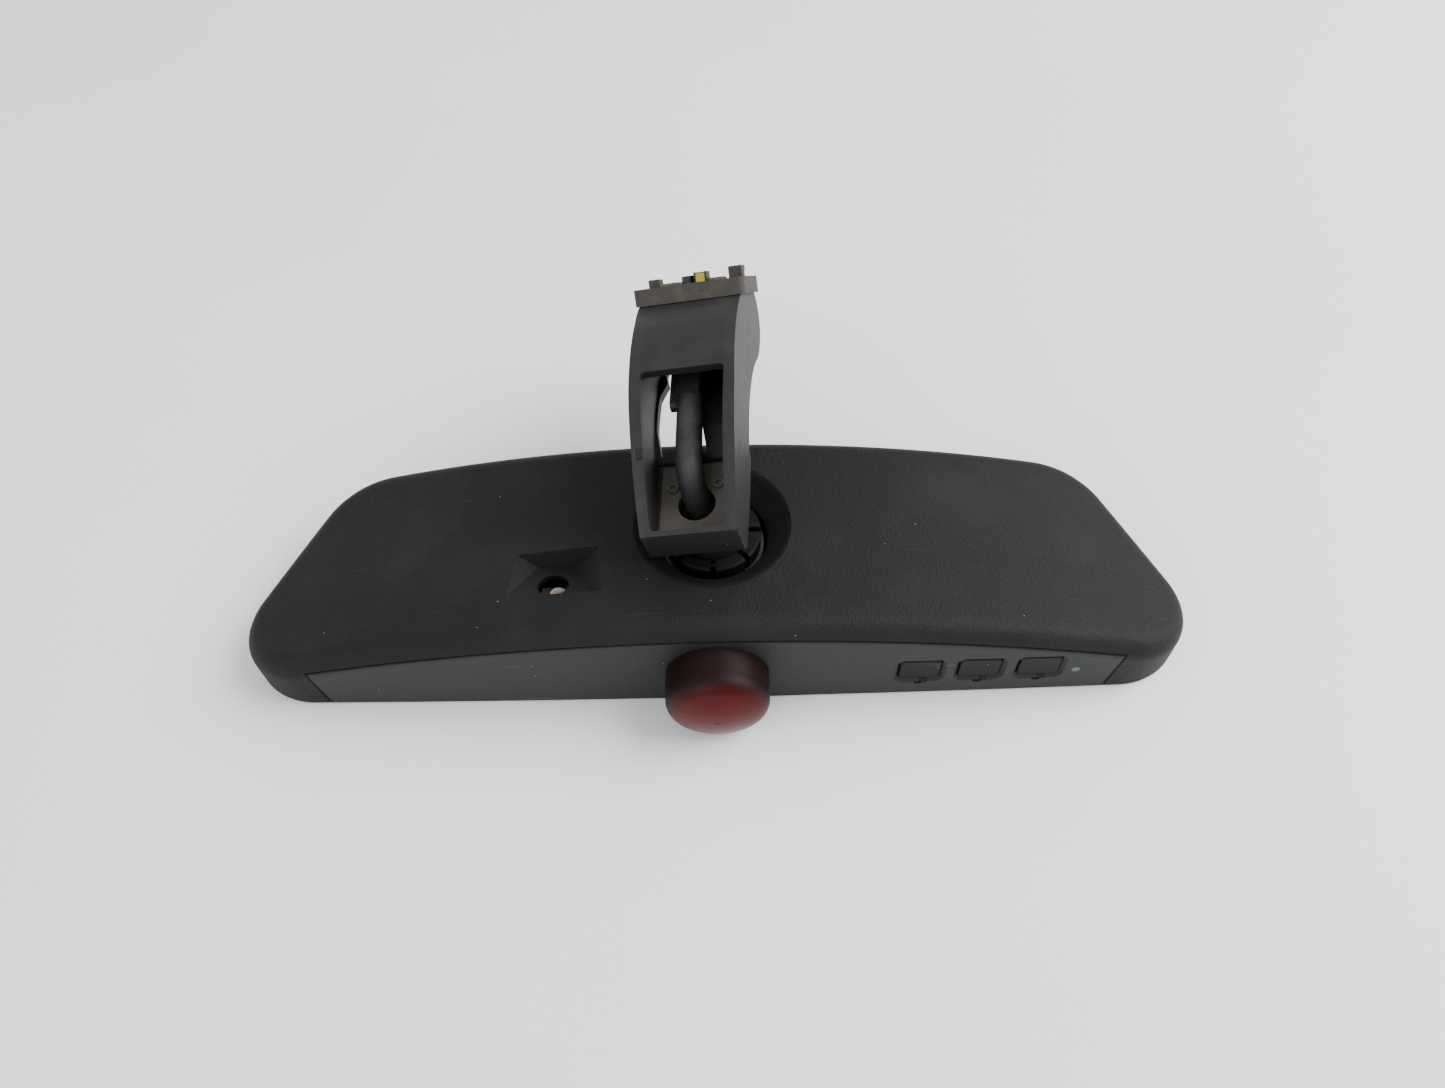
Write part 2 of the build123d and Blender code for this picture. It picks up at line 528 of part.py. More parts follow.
# ---------------------------------------------------------------- main board
main_board = box(*BOARD_SPAN, *BOARD_Y, BOARD_Z, BOARD_Z + BOARD) & head_block(WALL + 2, RIM)
for x, y in BOARD_POINTS:
    main_board = main_board - boss(x, y, BOARD_Z - 1, SCREW_HOLE + 0.1, BOARD_Z + 3)
save("main_board", main_board)
TOP = BOARD_Z + BOARD
save("processor", box(-72, -60, -4, 8, TOP, TOP + 1.4))
save("inductor", box(-84, -76, 4, 12, TOP, TOP + 3.2))
save("capacitor_1", rod(2.5, (-56, 14, TOP), (-56, 14, TOP + 5.4)))
save("capacitor_2", rod(2.5, (-49, 14, TOP), (-49, 14, TOP + 5.4)))
SENSOR_TOP = back_z(SENSOR_X, SENSOR_Y) - FUNNEL_DEPTH - FUNNEL_WALL - 1.2
sensor_y = SENSOR_Y - 2.8
save("sensor_riser", box(SENSOR_X - 4, SENSOR_X + 4, sensor_y - 3.2, sensor_y + 3.2, TOP, SENSOR_TOP))
cell_x = SENSOR_X + 0.7
save("ambient_sensor", rod(CELL_RADIUS, (cell_x, sensor_y, SENSOR_TOP), (cell_x, sensor_y, SENSOR_TOP + 1.6)))


# ---------------------------------------------------------------- socket
CUP_SPHERE = BALL_RADIUS + LINER + 2 * SHELL_GAP
PLATE_Z = CARRIER_TOP + PLATE
HARNESS_Z = PLATE_Z + HARNESS_RADIUS + 0.1
centre = (0, BALL_Y, 0)

socket_plate = Pos(0, BALL_Y, (CARRIER_TOP + PLATE_Z) / 2) * Box(2 * PLATE_HALF_X, 2 * PLATE_HALF_Y, PLATE)
socket_plate = socket_plate - boss(0, BALL_Y, CARRIER_TOP - 1, BORE_LOW, PLATE_Z + 1)
for x, y in PLATE_POINTS:
    socket_plate = socket_plate - boss(x, y, CARRIER_TOP - 1, SCREW_HOLE + 0.2, PLATE_Z + 1)
save("socket_plate", socket_plate)
for i, (x, y) in enumerate(PLATE_POINTS):
    save(f"socket_screw_{i + 1}", screw(SCREW_HOLE - 0.05, 2.2, (x, y, PLATE_Z), PLATE + CARRIER - 0.2, -1))

cup = spin([(BORE_LOW, PLATE_Z), (CUP_RADIUS + 2.4, PLATE_Z), (CUP_RADIUS + 2.4, PLATE_Z + CUP_FLANGE),
            (CUP_RADIUS, PLATE_Z + CUP_FLANGE), (CUP_RADIUS, BALL_Z + CUP_TOP - 0.6),
            (CUP_RADIUS - 0.6, BALL_Z + CUP_TOP), (BORE_LOW, BALL_Z + CUP_TOP)], centre)
cup = cup - Pos(*BALL) * Sphere(CUP_SPHERE)
cup = cup - boss(0, BALL_Y, 0, BORE_LOW + 0.01, BALL_Z)
ring_z = BALL_Z - 1.5
groove = spin([(CUP_RADIUS - 0.5, ring_z - RING_WIRE - 0.1), (CUP_RADIUS + 2, ring_z - RING_WIRE - 0.1),
               (CUP_RADIUS + 2, ring_z + RING_WIRE + 0.1), (CUP_RADIUS - 0.5, ring_z + RING_WIRE + 0.1)], centre)
cup = cup - groove
for i in range(FINGERS):
    turn = Location((0, BALL_Y, 0), (0, 0, i * 360 / FINGERS + 270))
    cup = cup - turn * box(CUP_SPHERE - 5, CUP_RADIUS + 1, -FINGER_SLOT / 2, FINGER_SLOT / 2,
                           BALL_Z - CUP_FOOT, BALL_Z + CUP_TOP + 1)
exit_half = HARNESS_RADIUS + 0.3
cup = cup - box(-CUP_RADIUS - 4, 0, BALL_Y - exit_half, BALL_Y + exit_half, PLATE_Z - 0.1,
                HARNESS_Z + exit_half)
save("socket_cup", cup)

ring_radius = CUP_RADIUS - 0.5 + 0.05
snap_ring = spin([(ring_radius, ring_z - RING_WIRE), (ring_radius + 1.3, ring_z - RING_WIRE),
                  (ring_radius + 1.3, ring_z + RING_WIRE), (ring_radius, ring_z + RING_WIRE)], centre)
save("snap_ring", snap_ring)

liner = Pos(*BALL) * (Sphere(BALL_RADIUS + LINER + SHELL_GAP) - Sphere(BALL_RADIUS + SHELL_GAP))
liner = liner & box(-20, 20, BALL_Y - 20, BALL_Y + 20, BALL_Z - 6.0, BALL_Z + 2.6)
save("ball_liner", liner)

# ---------------------------------------------------------------- ball and stem
ball = Sphere(BALL_RADIUS) + rod(SPIGOT_RADIUS, (0, 0, 5), (0, 0, SPIGOT_TOP))
ball = ball - rod(CABLE_RADIUS + 0.2, (0, 0, -1), (0, 0, SPIGOT_TOP + 1))
cone = make_face(Polyline((0, 0, 1.0), (CABLE_RADIUS + 0.2, 0, 1.0), (BALL_CONE + 0.6, 0, -BALL_RADIUS),
                          (0, 0, -BALL_RADIUS - 1), close=True))
ball = ball - revolve(cone, Axis.Z) - box(-20, 20, -20, 20, -BALL_RADIUS - 1, -BALL_RADIUS + 2.6)
save("ball", STALK * ball)


foot_turn = radians(FOOT_ANGLE)
foot_out = Vector(sin(foot_turn), cos(foot_turn))
foot_down = Vector(cos(foot_turn), -sin(foot_turn))
foot_front = Vector(*FOOT_FRONT)
foot_back = foot_front + foot_down * FOOT_DEPTH
front_end = foot_front - foot_out * COLLAR + foot_down * 0.8
back_end = foot_back - foot_out * COLLAR - foot_down * 0.8

front_line = [(-5.4, 30.2), (5.0, 34.8), (17.0, 38.6), (29.0, 40.3), (41.0, 39.6)]
rear_line = [(72.0, 10.6), (66.0, 6.6), (59.0, 7.4), (51.0, 12.0), (43.0, 16.6), (34.0, 19.4), (24.0, 20.4)]


def arcs(points):
    """Arcs through every three points in turn, each starting where the last one ends."""
    return [ThreePointArc(*points[i:i + 3]) for i in range(0, len(points) - 2, 2)]


def arm_outline(inset):
    """The arm's side outline, moved inwards by inset."""
    face = make_face([
        Line((-11.0, 13.4), (LIP_P, 16.0)),
        Line((LIP_P, 16.0), (LIP_P, LIP_Q)),
        *arcs([(LIP_P, LIP_Q), *front_line, (front_end.X, front_end.Y)]),
        Line((front_end.X, front_end.Y), (back_end.X, back_end.Y)),
        *arcs([(back_end.X, back_end.Y), *rear_line, (FLOOR_BACK + 0.6, FLOOR_TOP - 0.4)]),
        Line((FLOOR_BACK + 0.6, FLOOR_TOP - 0.4), (FLOOR_BACK, FLOOR_TOP - FLOOR)),
        Line((FLOOR_BACK, FLOOR_TOP - FLOOR), (4.0, 14.6)),
        Line((4.0, 14.6), (-11.0, 13.4)),
    ])
    return offset(face, -inset) if inset else face


def plan_outline(inset):
    """The arm seen along the stem: its half widths, narrowing to the lip."""
    right = [(12.2, -14.5), (12.35, LIP_P), (13.2, 5.0), (13.7, 22.0), (13.7, 45.0), (13.4, 90.0)]
    left = [(-15.6, 90.0), (-15.1, 60.0), (-14.2, 45.0), (-13.9, 22.0), (-13.2, 5.0), (-12.35, LIP_P),
            (-12.2, -14.5)]
    moved = [(x - inset if x > 0 else x + inset, y) for x, y in right + left]
    return make_face(Polyline(*moved, close=True))


arm_side = Plane.YZ * Pos(0, 0, -20) * extrude(arm_outline(0), 40)
arm_plan = extrude(plan_outline(0), 60)
arm = arm_side & arm_plan
void_side = Plane.YZ * Pos(0, 0, -20) * extrude(arm_outline(STALK_WALL), 40)
void = void_side & extrude(plan_outline(STALK_WALL), 60)
floor_cut = box(-20, 20, -20, FLOOR_BACK + 1.5, 0, FLOOR_TOP)
void = void - floor_cut
inner_half = 12.0 - STALK_WALL
window = Pos(0, 0, FLOOR_TOP) * extrude(
    make_face(Polyline((-inner_half, LIP_P + LIP_WALL), (inner_half, LIP_P + LIP_WALL), (11.0, WINDOW_TOP),
                       (-11.0, WINDOW_TOP), close=True)), 40)
window = fillet(window.edges().filter_by(Axis.Z), 1.2)
window = window - box(-20, 20, FLOOR_BACK - 2, 60, 0, REAR_WALL_TOP)
gap_points = [(-9.8, FLOOR_BACK), (-10.9, 22.0), (-10.9, 33.5), (-9.4, 39.4), (-10.9, 45.0), (-10.9, 51.0),
              (-3.9, 51.0), (-0.7, 36.0), (2.7, FLOOR_BACK)]
rear_gap = extrude(make_face(Polyline(*gap_points, close=True)), 30)
rear_gap = rear_gap - box(-20, 20, 0, 60, 29, 40)
arm = arm - void - window - rear_gap

stem_base = FLOOR_TOP - FLOOR + 0.5
stem = make_face(Polyline((0, 0, 4.0), (STEM_OUTER, 0, 4.0), (STEM_OUTER, 0, 10.2), (STEM_FLARE, 0, 14.6),
                          (STEM_FLARE, 0, stem_base), (0, 0, stem_base), close=True))
stem = revolve(stem, Axis.Z) - Sphere(BALL_RADIUS + 0.02)
arm = arm + stem
arm = arm - rod(SPIGOT_RADIUS + 0.03, (0, 0, 3), (0, 0, SPIGOT_TOP + 0.2))
arm = arm - rod(CABLE_RADIUS + 0.3, (0, 0, 3), (0, 0, FLOOR_TOP))
arm = arm - rod(CABLE_HOLE, (0, 0, 14.8), (0, 0, 40))
for x, y in FLOOR_BOSSES:
    arm = arm + rod(1.5, (x, y, FLOOR_TOP - 0.5), (x, y, FLOOR_TOP + 0.8))
    arm = arm - rod(0.8, (x, y, FLOOR_TOP), (x, y, FLOOR_TOP + 1))
foot_plane = Plane(origin=(0, foot_front.X, foot_front.Y), x_dir=(1, 0, 0), z_dir=(0, foot_out.X, foot_out.Y))


def foot(x0, x1, d0, d1, h0, h1):
    """A block on the foot: across, down its face from the front edge, and out of its face."""
    return foot_plane * box(x0, x1, d0, d1, h0, h1)


def along_foot(edge):
    """Whether an edge runs straight out of the foot's face."""
    return abs(abs(edge.tangent_at(0).dot(Vector(0, foot_out.X, foot_out.Y))) - 1) < 1e-6


collar = foot(-FOOT_LEFT, FOOT_HALF, 0, FOOT_DEPTH, -COLLAR, 0)
collar = fillet(collar.edges().filter_by(along_foot), 1.6)
collar = collar - foot(COLLAR_WALL - FOOT_LEFT, FOOT_HALF - COLLAR_WALL, COLLAR_WALL, FOOT_DEPTH - COLLAR_WALL,
                       -COLLAR - 1, 1)
save("stalk_frame", STALK * arm)
save("foot_collar", STALK * collar)

plate_edge = COLLAR_WALL + FIT
foot_plate = foot(plate_edge - FOOT_LEFT, FOOT_HALF - plate_edge, plate_edge, FOOT_DEPTH - plate_edge,
                  -PLATE_SINK - FOOT_PLATE, -PLATE_SINK)


def peg(x0, x1, depth, half_depth, top):
    """A block that stands on the foot plate and sticks out of the foot by top."""
    return foot(x0, x1, depth - half_depth, depth + half_depth, -PLATE_SINK, top)


claw_left = peg(-13.0, -9.9, 10.0, 2.4, 2.3)
save("claw_left", STALK * fillet(claw_left.edges().filter_by(lambda e: e.length > 4), 0.4))
claw_right = peg(8.2, 12.0, 19.5, 2.6, 3.4) + foot(8.2, 12.0, 20.4, 23.4 - FIT, 1.8, 3.4)
save("claw_right", STALK * claw_right)
foot_plate = foot_plate + peg(-9.4, -4.6, 10.0, 4.0, 0.8) + peg(3.9, 7.6, 12.0, 4.0, 0.8)
save("foot_plate", STALK * foot_plate)
hexagon = foot_plane * Pos(-2.1, 10.0, -PLATE_SINK) * extrude(RegularPolygon(1.9, 6), PLATE_SINK + 2.1)
save("foot_screw", STALK * hexagon)
lock_base = 0.4 - PLATE_SINK
lock_frame = peg(0.0, 3.6, 10.0, 2.6, 2.8) - foot(0.5, 3.1, 7.0, 12.0, lock_base, 4.0)
save("lock_frame", STALK * lock_frame)
save("connector_lock", STALK * foot(0.55, 3.05, 7.5, 11.95, lock_base, 2.4))

# ---------------------------------------------------------------- connector and cable
body = box(*CONNECTOR_X, *CONNECTOR_P, *CONNECTOR_Q)
body = fillet(body.edges().filter_by(Axis.Y), 0.6)
mid_q = sum(CONNECTOR_Q) / 2
socket_start = CONNECTOR_P[0] + 10.0
body = body - box(CONNECTOR_X[0] + BODY_WALL, CONNECTOR_X[1] - BODY_WALL, socket_start, CONNECTOR_P[1] + 1,
                  CONNECTOR_Q[0] + BODY_WALL, CONNECTOR_Q[1] - BODY_WALL)
save("connector_body", STALK * body)
pin_x = [CONNECTOR_X[0] + BODY_WALL + 0.9 + i * 1.0 for i in range(3)]
pins = [box(x - PIN_HALF, x + PIN_HALF, socket_start, CONNECTOR_P[1] - 1.5, q - PIN_HALF, q + PIN_HALF)
        for q in (mid_q - 1.3, mid_q + 1.3) for x in pin_x]
save("connector_pins", STALK * Compound([pin.solid() for pin in pins]))
lever_x = (CONNECTOR_X[0] - 2.1, CONNECTOR_X[0] - 0.5)
lever = box(*lever_x, CONNECTOR_P[0] - 2.8, CONNECTOR_P[0] + 12, mid_q - 1.0, mid_q + 2.4)
lever = fillet(lever.edges().filter_by(Axis.X).filter_by(lambda e: e.center().Y < CONNECTOR_P[0]), 1.4)
lever_root = CONNECTOR_P[0] + 8
lever += box(lever_x[1] - 0.1, CONNECTOR_X[0], lever_root, lever_root + 3, mid_q - 0.6, mid_q + 2.0)
save("connector_lever", STALK * lever)


def cord(points, radius):
    """A tube of straight runs joined by arcs as large as the runs allow."""
    points = [Vector(*p) for p in points]
    edges = []
    start = points[0]
    for before, here, after in zip(points, points[1:], points[2:]):
        into, out = here - before, after - here
        reach = 0.45 * min(into.length, out.length)
        first, last = here - into.normalized() * reach, here + out.normalized() * reach
        edges.append(Line(start, first))
        edges.append(TangentArc(first, last, tangent=into))
        start = last
    edges.append(Line(start, points[-1]))
    section = Plane(origin=points[0], z_dir=points[1] - points[0]) * Circle(radius)
    return sweep(section, path=Wire(edges))


CABLE_ROUTE = [(-0.8, CONNECTOR_P[0], 27.2), (-0.8, 15.0, 27.2), (0, 0, 27.0), (0, 0, 0)]
cable = cord(CABLE_ROUTE, CABLE_RADIUS) + (Sphere(CABLE_RADIUS) & box(-9, 9, -9, 9, -9, 0.1))
save("cable", STALK * cable)

PLUG_Z = TOP + 2.2
harness_top = BALL_Z - CABLE_RADIUS + 1
HARNESS_ROUTE = [(0, BALL_Y, harness_top), (0, BALL_Y, HARNESS_Z), (-17.5, BALL_Y, HARNESS_Z),
                 (-20.5, BALL_Y, PLUG_Z), (PLUG_X, BALL_Y, PLUG_Z)]
harness = cord(HARNESS_ROUTE, HARNESS_RADIUS) - Pos(*BALL) * Sphere(CABLE_RADIUS + 0.3)
save("inner_harness", harness)
save("harness_plug", box(HEADER_X, PLUG_X, BALL_Y - 3.4, BALL_Y + 3.4, TOP + 0.2, TOP + 4.2))
save("board_header", box(HEADER_X - 6, HEADER_X, BALL_Y - 4, BALL_Y + 4, TOP, TOP + 4.8))
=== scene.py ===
import json
from math import cos, radians, sin

import bpy
import numpy as np
from mathutils import Matrix, Vector


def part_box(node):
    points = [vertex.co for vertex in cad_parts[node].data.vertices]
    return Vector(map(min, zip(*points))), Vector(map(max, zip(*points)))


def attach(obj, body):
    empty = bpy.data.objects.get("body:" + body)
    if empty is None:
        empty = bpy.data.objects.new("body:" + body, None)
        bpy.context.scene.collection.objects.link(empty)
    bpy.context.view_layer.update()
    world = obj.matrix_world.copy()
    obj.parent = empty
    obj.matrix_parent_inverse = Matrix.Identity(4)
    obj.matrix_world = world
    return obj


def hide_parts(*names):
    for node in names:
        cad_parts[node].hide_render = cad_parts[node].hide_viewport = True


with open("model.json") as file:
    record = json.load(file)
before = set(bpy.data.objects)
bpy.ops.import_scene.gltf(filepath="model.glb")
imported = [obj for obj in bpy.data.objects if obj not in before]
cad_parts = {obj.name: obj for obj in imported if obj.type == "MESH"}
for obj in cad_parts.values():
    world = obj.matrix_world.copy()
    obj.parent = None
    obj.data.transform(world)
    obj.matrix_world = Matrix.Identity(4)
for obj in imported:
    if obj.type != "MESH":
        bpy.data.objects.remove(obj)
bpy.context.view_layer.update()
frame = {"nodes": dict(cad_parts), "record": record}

mm = 0.001
scene = bpy.context.scene
nodes = frame["nodes"]
print("frame loaded,", len(nodes), "nodes")


cameraValues = {
    "target": (2.53, 5.1, 15.0),  # mm
    "distance": 303.74,  # mm
    "elevation": 54.16,  # degrees
    "yaw": 0.54,
    "roll": -1.78,
    "lens": 27.03,
}


def makeCamera(v):
    lift = radians(v["elevation"])
    turn = radians(v["yaw"])
    lean = radians(v["roll"])
    back = Vector((sin(turn) * cos(lift), -cos(turn) * cos(lift), sin(lift)))
    right = (-back).cross(Vector((0, 0, 1))).normalized()
    up = right.cross(-back)
    across = cos(lean) * right + sin(lean) * up
    upward = cos(lean) * up - sin(lean) * right
    place = (Vector(v["target"]) + back * v["distance"]) * mm
    data = bpy.data.cameras.new("camera")
    data.sensor_width = 36
    data.lens = v["lens"]
    data.clip_start = 0.01
    camera = bpy.data.objects.new("camera", data)
    scene.collection.objects.link(camera)
    turned = Matrix((across, upward, back)).transposed()
    camera.matrix_world = Matrix.Translation(place) @ turned.to_4x4()
    scene.camera = camera


makeCamera(cameraValues)
print("camera placed")


# The stalk's own axes: X across it, Y towards the foot, Z up along the stem from the ball's centre.
stalkValues = {
    "ball": (0.0, 1.0, 22.5),  # mm
    "tilt": 4.9,  # degrees
    "lean": -11.4,
    "twist": -2.7,
}


def stalkAxes(v):
    turned = Matrix.Rotation(radians(v["tilt"]), 3, "X")
    turned = turned @ Matrix.Rotation(radians(v["lean"]), 3, "Y")
    return turned @ Matrix.Rotation(radians(v["twist"]), 3, "Z")


stalkTurn = stalkAxes(stalkValues)
ballCentre = Vector(stalkValues["ball"]) * mm


def onStalk(point):
    return ballCentre + stalkTurn @ (Vector(point) * mm)


# The cable runs from the ball's bore up to the connector. Its route is in millimetres in the stalk's axes.
cableValues = {
    "route": [(0, 0, 0), (0, 0, 27.0), (-0.8, 15.0, 27.2), (-0.8, 27.0, 27.2)],
    "radius": 3.5,
    "length": 49.4,
    "sides": 8,
    "steps": 24,
}


def makeCable(v):
    data = bpy.data.curves.new("cable_sheath", "CURVE")
    data.dimensions = "3D"
    data.bevel_depth = 1.0  # times each point's own radius
    data.bevel_resolution = v["sides"]
    data.resolution_u = v["steps"]
    data.use_fill_caps = True
    spline = data.splines.new("NURBS")
    spline.points.add(len(v["route"]) - 1)
    route = np.array([[*onStalk(p), 1.0] for p in v["route"]])
    spline.points.foreach_set("co", route.ravel())
    spline.points.foreach_set("radius", np.full(len(route), v["radius"] * mm))
    spline.order_u = 3
    spline.use_endpoint_u = True
    cable = bpy.data.objects.new("cable_sheath", data)
    scene.collection.objects.link(cable)
    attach(cable, "stalk")
    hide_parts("cable")
    return cable


cable = makeCable(cableValues)
print("cable routed")


class Flow:
    # wraps one output socket, and arithmetic on it adds Math nodes to the same tree
    def __init__(self, tree, socket=None):
        self.tree = tree
        self.socket = socket

    def node(self, kind, settings=None, inputs=None, output=0):
        made = self.tree.nodes.new(kind)
        for key, value in (settings or {}).items():
            setattr(made, key, value)
        for key, value in (inputs or {}).items():
            socket = made.inputs[key]
            if isinstance(value, Flow):
                self.tree.links.new(value.socket, socket)
            else:
                socket.default_value = value
        return Flow(self.tree, made.outputs[output])

    def maths(self, operation, first, second=0.0):
        return self.node("ShaderNodeMath", {"operation": operation}, {0: first, 1: second})

    def __add__(self, other):
        return self.maths("ADD", self, other)

    def __radd__(self, other):
        return self.maths("ADD", other, self)

    def __sub__(self, other):
        return self.maths("SUBTRACT", self, other)

    def __rsub__(self, other):
        return self.maths("SUBTRACT", other, self)

    def __mul__(self, other):
        return self.maths("MULTIPLY", self, other)

    def __rmul__(self, other):
        return self.maths("MULTIPLY", other, self)

    def __truediv__(self, other):
        return self.maths("DIVIDE", self, other)

    def __rtruediv__(self, other):
        return self.maths("DIVIDE", other, self)

    def __abs__(self):
        return self.maths("ABSOLUTE", self)

    def clamped(self):
        return self.node("ShaderNodeClamp", {}, {"Value": self})

    def other(self, name):
        return Flow(self.tree, self.socket.node.outputs[name])


def blend(flow, share, first, second):
    # a colour that goes from first to second as share goes from 0 to 1
    return flow.node("ShaderNodeMix", {"data_type": "RGBA"}, {0: share, 6: first, 7: second}, output=2)


def step(flow, value, start, end):
    # 0 below start, 1 above end, smooth between
    return flow.node("ShaderNodeMapRange", {"interpolation_type": "SMOOTHSTEP"},
                     {"Value": value, "From Min": start, "From Max": end})


def axesOf(flow, vector):
    split = flow.node("ShaderNodeSeparateXYZ", {}, {0: vector})
    return [split.other(name) for name in "XYZ"]


def millimetres(flow, vector):
    return [axis * 1000 for axis in axesOf(flow, vector)]


def noise(flow, place, scale, **inputs):
    return flow.node("ShaderNodeTexNoise", {}, {"Vector": place, "Scale": scale, **inputs})


def objectPlace(flow):
    return flow.node("ShaderNodeTexCoord", output="Object")


def boxMask(flow, axes, centre, half, soft):
    # 1 inside a box of the given half sizes, falling to 0 over soft outside it
    mask = 1.0
    for axis, middle, reach in zip(axes, centre, half):
        mask = (1 - step(flow, abs(axis - middle), reach, reach + soft)) * mask
    return mask


def newMaterial(name):
    material = bpy.data.materials.new(name)
    material.use_nodes = True
    tree = material.node_tree
    shader = tree.nodes["Principled BSDF"]
    return material, Flow(tree), shader


def plug(flow, shader, values):
    for key, value in values.items():
        if isinstance(value, Flow):
            flow.tree.links.new(value.socket, shader.inputs[key])
        else:
            shader.inputs[key].default_value = value


def colour(values):
    return (*values, 1.0)


# A moulded finish is a blotchy base colour, a grain, faint scratches, and dust that gathers on what faces
# up and leaves pale specks. Sizes are in millimetres.
plainPlastic = {
    "dark": (0.018, 0.0185, 0.019),
    "light": (0.027, 0.0275, 0.0285),
    "blotch": 34.0,
    "grain": 0.55,
    "grainDepth": 0.35,
    "fine": 0.16,
    "rough": (0.46, 0.62),
    "dustColour": (0.13, 0.125, 0.115),
    "dust": 0.08,
    "dustSize": 16.0,
    "specks": 0.6,
    "speckSize": 4.2,
    "speckColour": (0.42, 0.40, 0.36),
    "scratches": 0.10,
    "scratchTurn": (0.3, 0.2, 0.55),
    "scratchScale": (45.0, 900.0, 260.0),
    "specular": 0.45,
}


def moulded(name, changes, features=None):
    v = {**plainPlastic, **changes}
    material, flow, shader = newMaterial(name)
    place = objectPlace(flow)
    upward = axesOf(flow, flow.node("ShaderNodeNewGeometry", output="Normal"))[2]
    blotch = noise(flow, place, 1 / (v["blotch"] * mm), Detail=4.0, Roughness=0.6)
    grain = flow.node("ShaderNodeTexVoronoi", {"feature": "SMOOTH_F1"},
                      {"Vector": place, "Scale": 1 / (v["grain"] * mm), "Smoothness": 0.7})
    fine = noise(flow, place, 1 / (v["fine"] * mm), Detail=2.0)
    cloud = noise(flow, place, 1 / (v["dustSize"] * mm), Detail=6.0, Roughness=0.68)
    dust = step(flow, cloud, 0.46, 0.72) * step(flow, upward, -0.2, 0.8) * v["dust"]
    cell = flow.node("ShaderNodeTexVoronoi", {}, {"Vector": place, "Scale": 1 / (v["speckSize"] * mm)})
    chance = axesOf(flow, cell.other("Color"))[0]
    speck = (1 - step(flow, cell, 0.025, 0.05)) * step(flow, chance, 0.72, 0.8) * v["specks"]
    stretched = flow.node("ShaderNodeMapping", {},
                          {"Vector": place, "Rotation": v["scratchTurn"], "Scale": v["scratchScale"]})
    streak = noise(flow, stretched, 1.0, Detail=3.0)
    scratch = step(flow, streak, 0.69, 0.76) * v["scratches"]
    tone = step(flow, blotch, 0.3, 0.7) * 0.8 + fine * 0.2
    base = blend(flow, tone, colour(v["dark"]), colour(v["light"]))
    base = blend(flow, (dust + scratch * 0.6).clamped(), base, colour(v["dustColour"]))
    base = blend(flow, speck.clamped(), base, colour(v["speckColour"]))
    low, high = v["rough"]
    rough = blotch * (high - low) + low + dust * 0.9 + grain * 0.08 - scratch * 0.5
    height = grain * v["grainDepth"] + fine * 0.25 + speck * 0.5
    if features:
        base, rough, height = features(flow, place, base, rough, height)
    bump = flow.node("ShaderNodeBump", {},
                     {"Height": height, "Strength": 0.9, "Distance": v["grain"] * 0.25 * mm})
    plug(flow, shader, {"Base Color": base, "Roughness": rough.clamped(), "Normal": bump,
                        "Specular IOR Level": v["specular"]})
    return material


housingValues = {
    "dark": (0.0058, 0.0060, 0.0063),
    "light": (0.0092, 0.0094, 0.0096),
    "grain": 0.62,
    "grainDepth": 0.9,
    "rough": (0.50, 0.66),
    "dust": 0.035,
    "dustSize": 30.0,
    "specular": 0.17,
}
panelValues = {
    "dark": (0.0104, 0.0105, 0.0105),
    "light": (0.0145, 0.0145, 0.0142),
    "grain": 0.4,
    "grainDepth": 0.3,
    "rough": (0.5, 0.64),
    "dust": 0.08,
    "scratches": 0.16,
    "specular": 0.3,
}
buttonValues = {
    "dark": (0.0032, 0.0036, 0.0042),
    "light": (0.0055, 0.006, 0.0068),
    "grain": 0.35,
    "grainDepth": 0.25,
    "rough": (0.4, 0.52),
    "specular": 0.14,
}
bezelValues = {
    "dark": (0.015, 0.015, 0.016),
    "light": (0.024, 0.024, 0.024),
    "grain": 0.5,
    "grainDepth": 0.15,
    "rough": (0.4, 0.55),
}
stalkFinish = {
    "dark": (0.0088, 0.0089, 0.009),
    "light": (0.0135, 0.0134, 0.0132),
    "grain": 0.4,
    "grainDepth": 0.3,
    "rough": (0.44, 0.6),
    "dust": 0.09,
    "scratches": 0.12,
    "specular": 0.35,
    # the floor's browner tone, made much lighter as painted light
    "floorBrownAndPaintedLight": (0.105, 0.092, 0.076),
    # painted shade colour for the hollow
    "hollowShadePainted": (0.004, 0.004, 0.004),
    # painted shade colour for the slots and grooves
    "slotShadePainted": (0.003, 0.003, 0.003),
}
collarValues = {
    "dark": (0.026, 0.023, 0.02),
    "light": (0.046, 0.041, 0.035),
    "grain": 0.4,
    "grainDepth": 0.5,
    "rough": (0.6, 0.8),
    "dust": 0.6,
    "dustColour": (0.13, 0.105, 0.08),
    "dustSize": 5.0,
}
# the socket cup and the ball: dark plastic, made darker still as painted shade for the shadow under the
# stalk
cupPaintedShadeValues = {
    "dark": (0.0024, 0.0024, 0.0027),
    "light": (0.0045, 0.0045, 0.005),
    "grain": 0.3,
    "grainDepth": 0.1,
    "rough": (0.46, 0.6),
    "dust": 0.03,
    "specular": 0.14,
}
innerValues = {"dark": (0.02, 0.02, 0.02), "light": (0.03, 0.03, 0.03), "rough": (0.5, 0.6)}
linerValues = {
    "dark": (0.010, 0.010, 0.010),
    "light": (0.016, 0.016, 0.016),
    "rough": (0.5, 0.6),
    "dust": 0.05,
}
whiteValues = {
    "dark": (0.6, 0.59, 0.55),
    "light": (0.75, 0.74, 0.7),
    "rough": (0.4, 0.5),
    "dust": 0.0,
}
chipValues = {
    "dark": (0.012, 0.012, 0.012),
    "light": (0.02, 0.02, 0.02),
    "grain": 0.2,
    "rough": (0.45, 0.55),
}
pegValues = {
    "dark": (0.012, 0.012, 0.012),
    "light": (0.02, 0.019, 0.018),
    "rough": (0.4, 0.55),
    "dust": 0.2,
}
